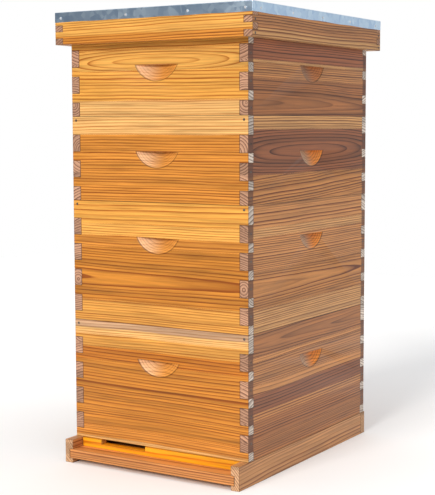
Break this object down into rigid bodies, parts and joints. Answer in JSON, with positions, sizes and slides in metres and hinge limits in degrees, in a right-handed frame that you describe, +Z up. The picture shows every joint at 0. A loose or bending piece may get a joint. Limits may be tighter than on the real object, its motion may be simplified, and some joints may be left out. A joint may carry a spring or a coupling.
{
  "type": "beehive",
  "caption": "Stacked wooden beehive: finger-jointed boxes of hanging frames on a bottom board with an entrance reducer, under an inner cover and a metal-capped telescoping cover.",
  "frame": {"origin": "middle of the whole hive's footprint, on the surface that the bottom board's rails stand on", "axes": "+Z up; -Y out of the entrance, towards someone who stands in front of the hive; +X to that person's right"},
  "size_m": [0.4606, 0.5648, 0.91],
  "materials": {
    "end_board_wood": "wax-dipped pine, satin, yellow-orange with fine level grain",
    "side_board_wood": "wax-dipped pine, satin, browner with slanting grain",
    "rail_wood": "wax-dipped pine, satin",
    "floor_wood": "wax-dipped pine, satin",
    "reducer_wood": "bright waxed pine, satin",
    "frame_wood": "planed basswood, matt",
    "foundation_wax": "wax-coated, embossed with cells",
    "inner_cover_wood": "waxed pine, satin",
    "inner_panel_wood": "plywood, matt",
    "roof_wood": "pine, matt",
    "galvanised_sheet": "galvanised, dull metallic",
    "nail_steel": "dull steel",
    "bright_nails": "bright steel"
  },
  "bodies": {
    "bottom_board": {"left_rail": "rail_wood", "right_rail": "rail_wood", "rear_rail": "rail_wood", "floor_panel": "floor_wood", "rail_nails": "nail_steel"},
    "reducer": {"entrance_reducer": "reducer_wood"},
    "deep_lower_box": {"deep_lower_front_board": "end_board_wood", "deep_lower_rear_board": "end_board_wood", "deep_lower_left_board": "side_board_wood", "deep_lower_right_board": "side_board_wood", "deep_lower_corner_nails": "nail_steel"},
    "deep_lower_frames": {"deep_lower_frame_top_bars": "frame_wood", "deep_lower_frame_end_bars": "frame_wood", "deep_lower_frame_bottom_bars": "frame_wood", "deep_lower_foundations": "foundation_wax"},
    "deep_upper_box": {"deep_upper_front_board": "end_board_wood", "deep_upper_rear_board": "end_board_wood", "deep_upper_left_board": "side_board_wood", "deep_upper_right_board": "side_board_wood", "deep_upper_corner_nails": "nail_steel"},
    "deep_upper_frames": {"deep_upper_frame_top_bars": "frame_wood", "deep_upper_frame_end_bars": "frame_wood", "deep_upper_frame_bottom_bars": "frame_wood", "deep_upper_foundations": "foundation_wax"},
    "medium_lower_box": {"medium_lower_front_board": "end_board_wood", "medium_lower_rear_board": "end_board_wood", "medium_lower_left_board": "side_board_wood", "medium_lower_right_board": "side_board_wood", "medium_lower_corner_nails": "nail_steel"},
    "medium_lower_frames": {"medium_lower_frame_top_bars": "frame_wood", "medium_lower_frame_end_bars": "frame_wood", "medium_lower_frame_bottom_bars": "frame_wood", "medium_lower_foundations": "foundation_wax"},
    "medium_upper_box": {"medium_upper_front_board": "end_board_wood", "medium_upper_rear_board": "end_board_wood", "medium_upper_left_board": "side_board_wood", "medium_upper_right_board": "side_board_wood", "medium_upper_corner_nails": "nail_steel"},
    "medium_upper_frames": {"medium_upper_frame_top_bars": "frame_wood", "medium_upper_frame_end_bars": "frame_wood", "medium_upper_frame_bottom_bars": "frame_wood", "medium_upper_foundations": "foundation_wax"},
    "inner_cover": {"inner_left_rail": "inner_cover_wood", "inner_right_rail": "inner_cover_wood", "inner_front_rail": "inner_cover_wood", "inner_rear_rail": "inner_cover_wood", "inner_panel": "inner_panel_wood"},
    "cover": {"rim_left": "side_board_wood", "rim_right": "side_board_wood", "rim_front": "end_board_wood", "rim_rear": "end_board_wood", "rim_nails": "nail_steel", "roof_panel": "roof_wood", "metal_cap": "galvanised_sheet", "metal_nails": "bright_nails"}
  },
  "joints": [
    {"name": "reducer_slide", "type": "slide", "parent": "bottom_board", "child": "reducer", "axis": [0, -1, 0], "range_m": [0, 0.08]},
    {"name": "deep_lower_lift", "type": "slide", "parent": "bottom_board", "child": "deep_lower_box", "axis": [0, 0, 1], "range_m": [0, 0.3]},
    {"name": "deep_upper_lift", "type": "slide", "parent": "deep_lower_box", "child": "deep_upper_box", "axis": [0, 0, 1], "range_m": [0, 0.3]},
    {"name": "medium_lower_lift", "type": "slide", "parent": "deep_upper_box", "child": "medium_lower_box", "axis": [0, 0, 1], "range_m": [0, 0.3]},
    {"name": "medium_upper_lift", "type": "slide", "parent": "medium_lower_box", "child": "medium_upper_box", "axis": [0, 0, 1], "range_m": [0, 0.3]},
    {"name": "inner_cover_lift", "type": "slide", "parent": "medium_upper_box", "child": "inner_cover", "axis": [0, 0, 1], "range_m": [0, 0.3]},
    {"name": "cover_lift", "type": "slide", "parent": "inner_cover", "child": "cover", "axis": [0, 0, 1], "range_m": [0, 0.15]},
    {"name": "deep_lower_frames_lift", "type": "slide", "parent": "deep_lower_box", "child": "deep_lower_frames", "axis": [0, 0, 1], "range_m": [0, 0.255]},
    {"name": "deep_upper_frames_lift", "type": "slide", "parent": "deep_upper_box", "child": "deep_upper_frames", "axis": [0, 0, 1], "range_m": [0, 0.255]},
    {"name": "medium_lower_frames_lift", "type": "slide", "parent": "medium_lower_box", "child": "medium_lower_frames", "axis": [0, 0, 1], "range_m": [0, 0.18]},
    {"name": "medium_upper_frames_lift", "type": "slide", "parent": "medium_upper_box", "child": "medium_upper_frames", "axis": [0, 0, 1], "range_m": [0, 0.18]}
  ],
  "couplings": [
    {"joint": "deep_lower_frames_lift", "follows": "deep_upper_lift", "ratio": 0.85},
    {"joint": "deep_upper_frames_lift", "follows": "medium_lower_lift", "ratio": 0.85},
    {"joint": "medium_lower_frames_lift", "follows": "medium_upper_lift", "ratio": 0.6},
    {"joint": "medium_upper_frames_lift", "follows": "inner_cover_lift", "ratio": 0.6}
  ]
}
